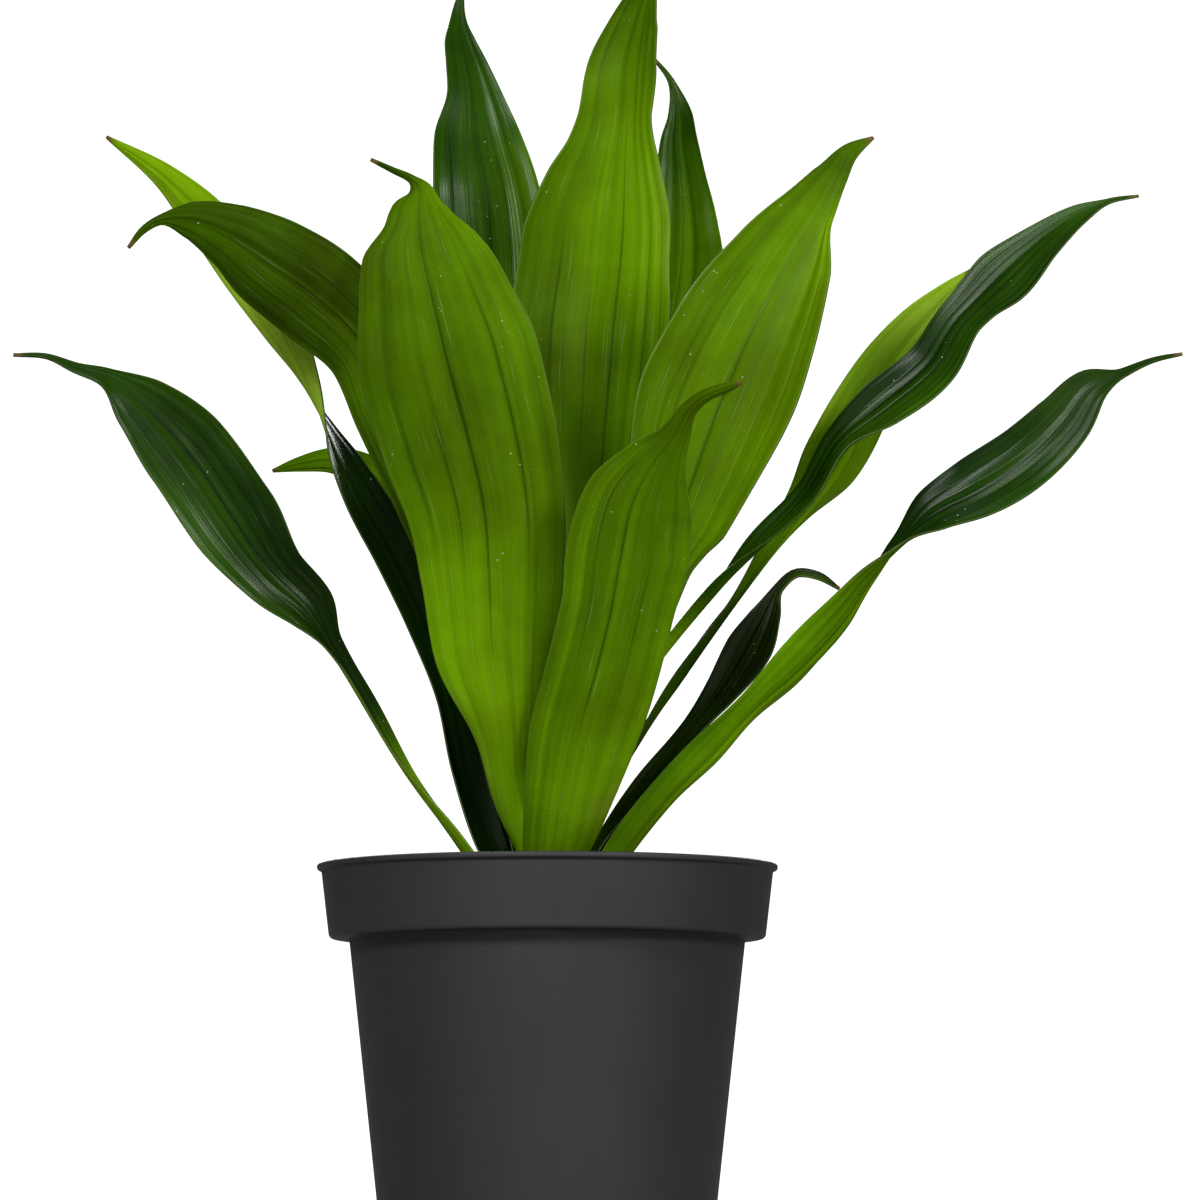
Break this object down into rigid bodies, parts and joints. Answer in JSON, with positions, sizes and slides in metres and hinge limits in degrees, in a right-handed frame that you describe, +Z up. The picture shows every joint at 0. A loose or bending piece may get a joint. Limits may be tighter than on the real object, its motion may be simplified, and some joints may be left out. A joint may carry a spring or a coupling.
{
  "type": "potted dragon tree",
  "caption": "Young dragon tree with long waved leaves that fan out from a short stem, in a round plastic nursery pot.",
  "frame": {"origin": "middle of the pot's underside, on the surface that the pot stands on", "axes": "+Z up along the pot's axis, +X to the right of the front view, +Y away from the front"},
  "size_m": [0.4272, 0.3308, 0.4971],
  "materials": {
    "pot": "matte",
    "soil": "matte",
    "stem": "satin",
    "mature_leaf": "gloss",
    "young_leaf": "satin"
  },
  "bodies": {
    "root": {"pot": "pot", "soil": "soil", "stem": "stem", "leaf_right_low": "mature_leaf", "leaf_left_low": "mature_leaf", "leaf_rear_centre": "mature_leaf", "leaf_right_short": "mature_leaf", "leaf_left_twisted": "mature_leaf", "leaf_rear_right": "mature_leaf", "leaf_rear_left": "mature_leaf", "leaf_right_pale": "mature_leaf", "leaf_left_short": "mature_leaf", "leaf_right_high": "mature_leaf", "leaf_back_left": "mature_leaf", "leaf_left_arching": "mature_leaf", "leaf_back_right": "mature_leaf", "leaf_front_short": "young_leaf", "leaf_front_broad": "young_leaf", "leaf_right_broad": "young_leaf", "leaf_centre_tall": "young_leaf", "leaf_spear": "young_leaf"}
  },
  "joints": []
}
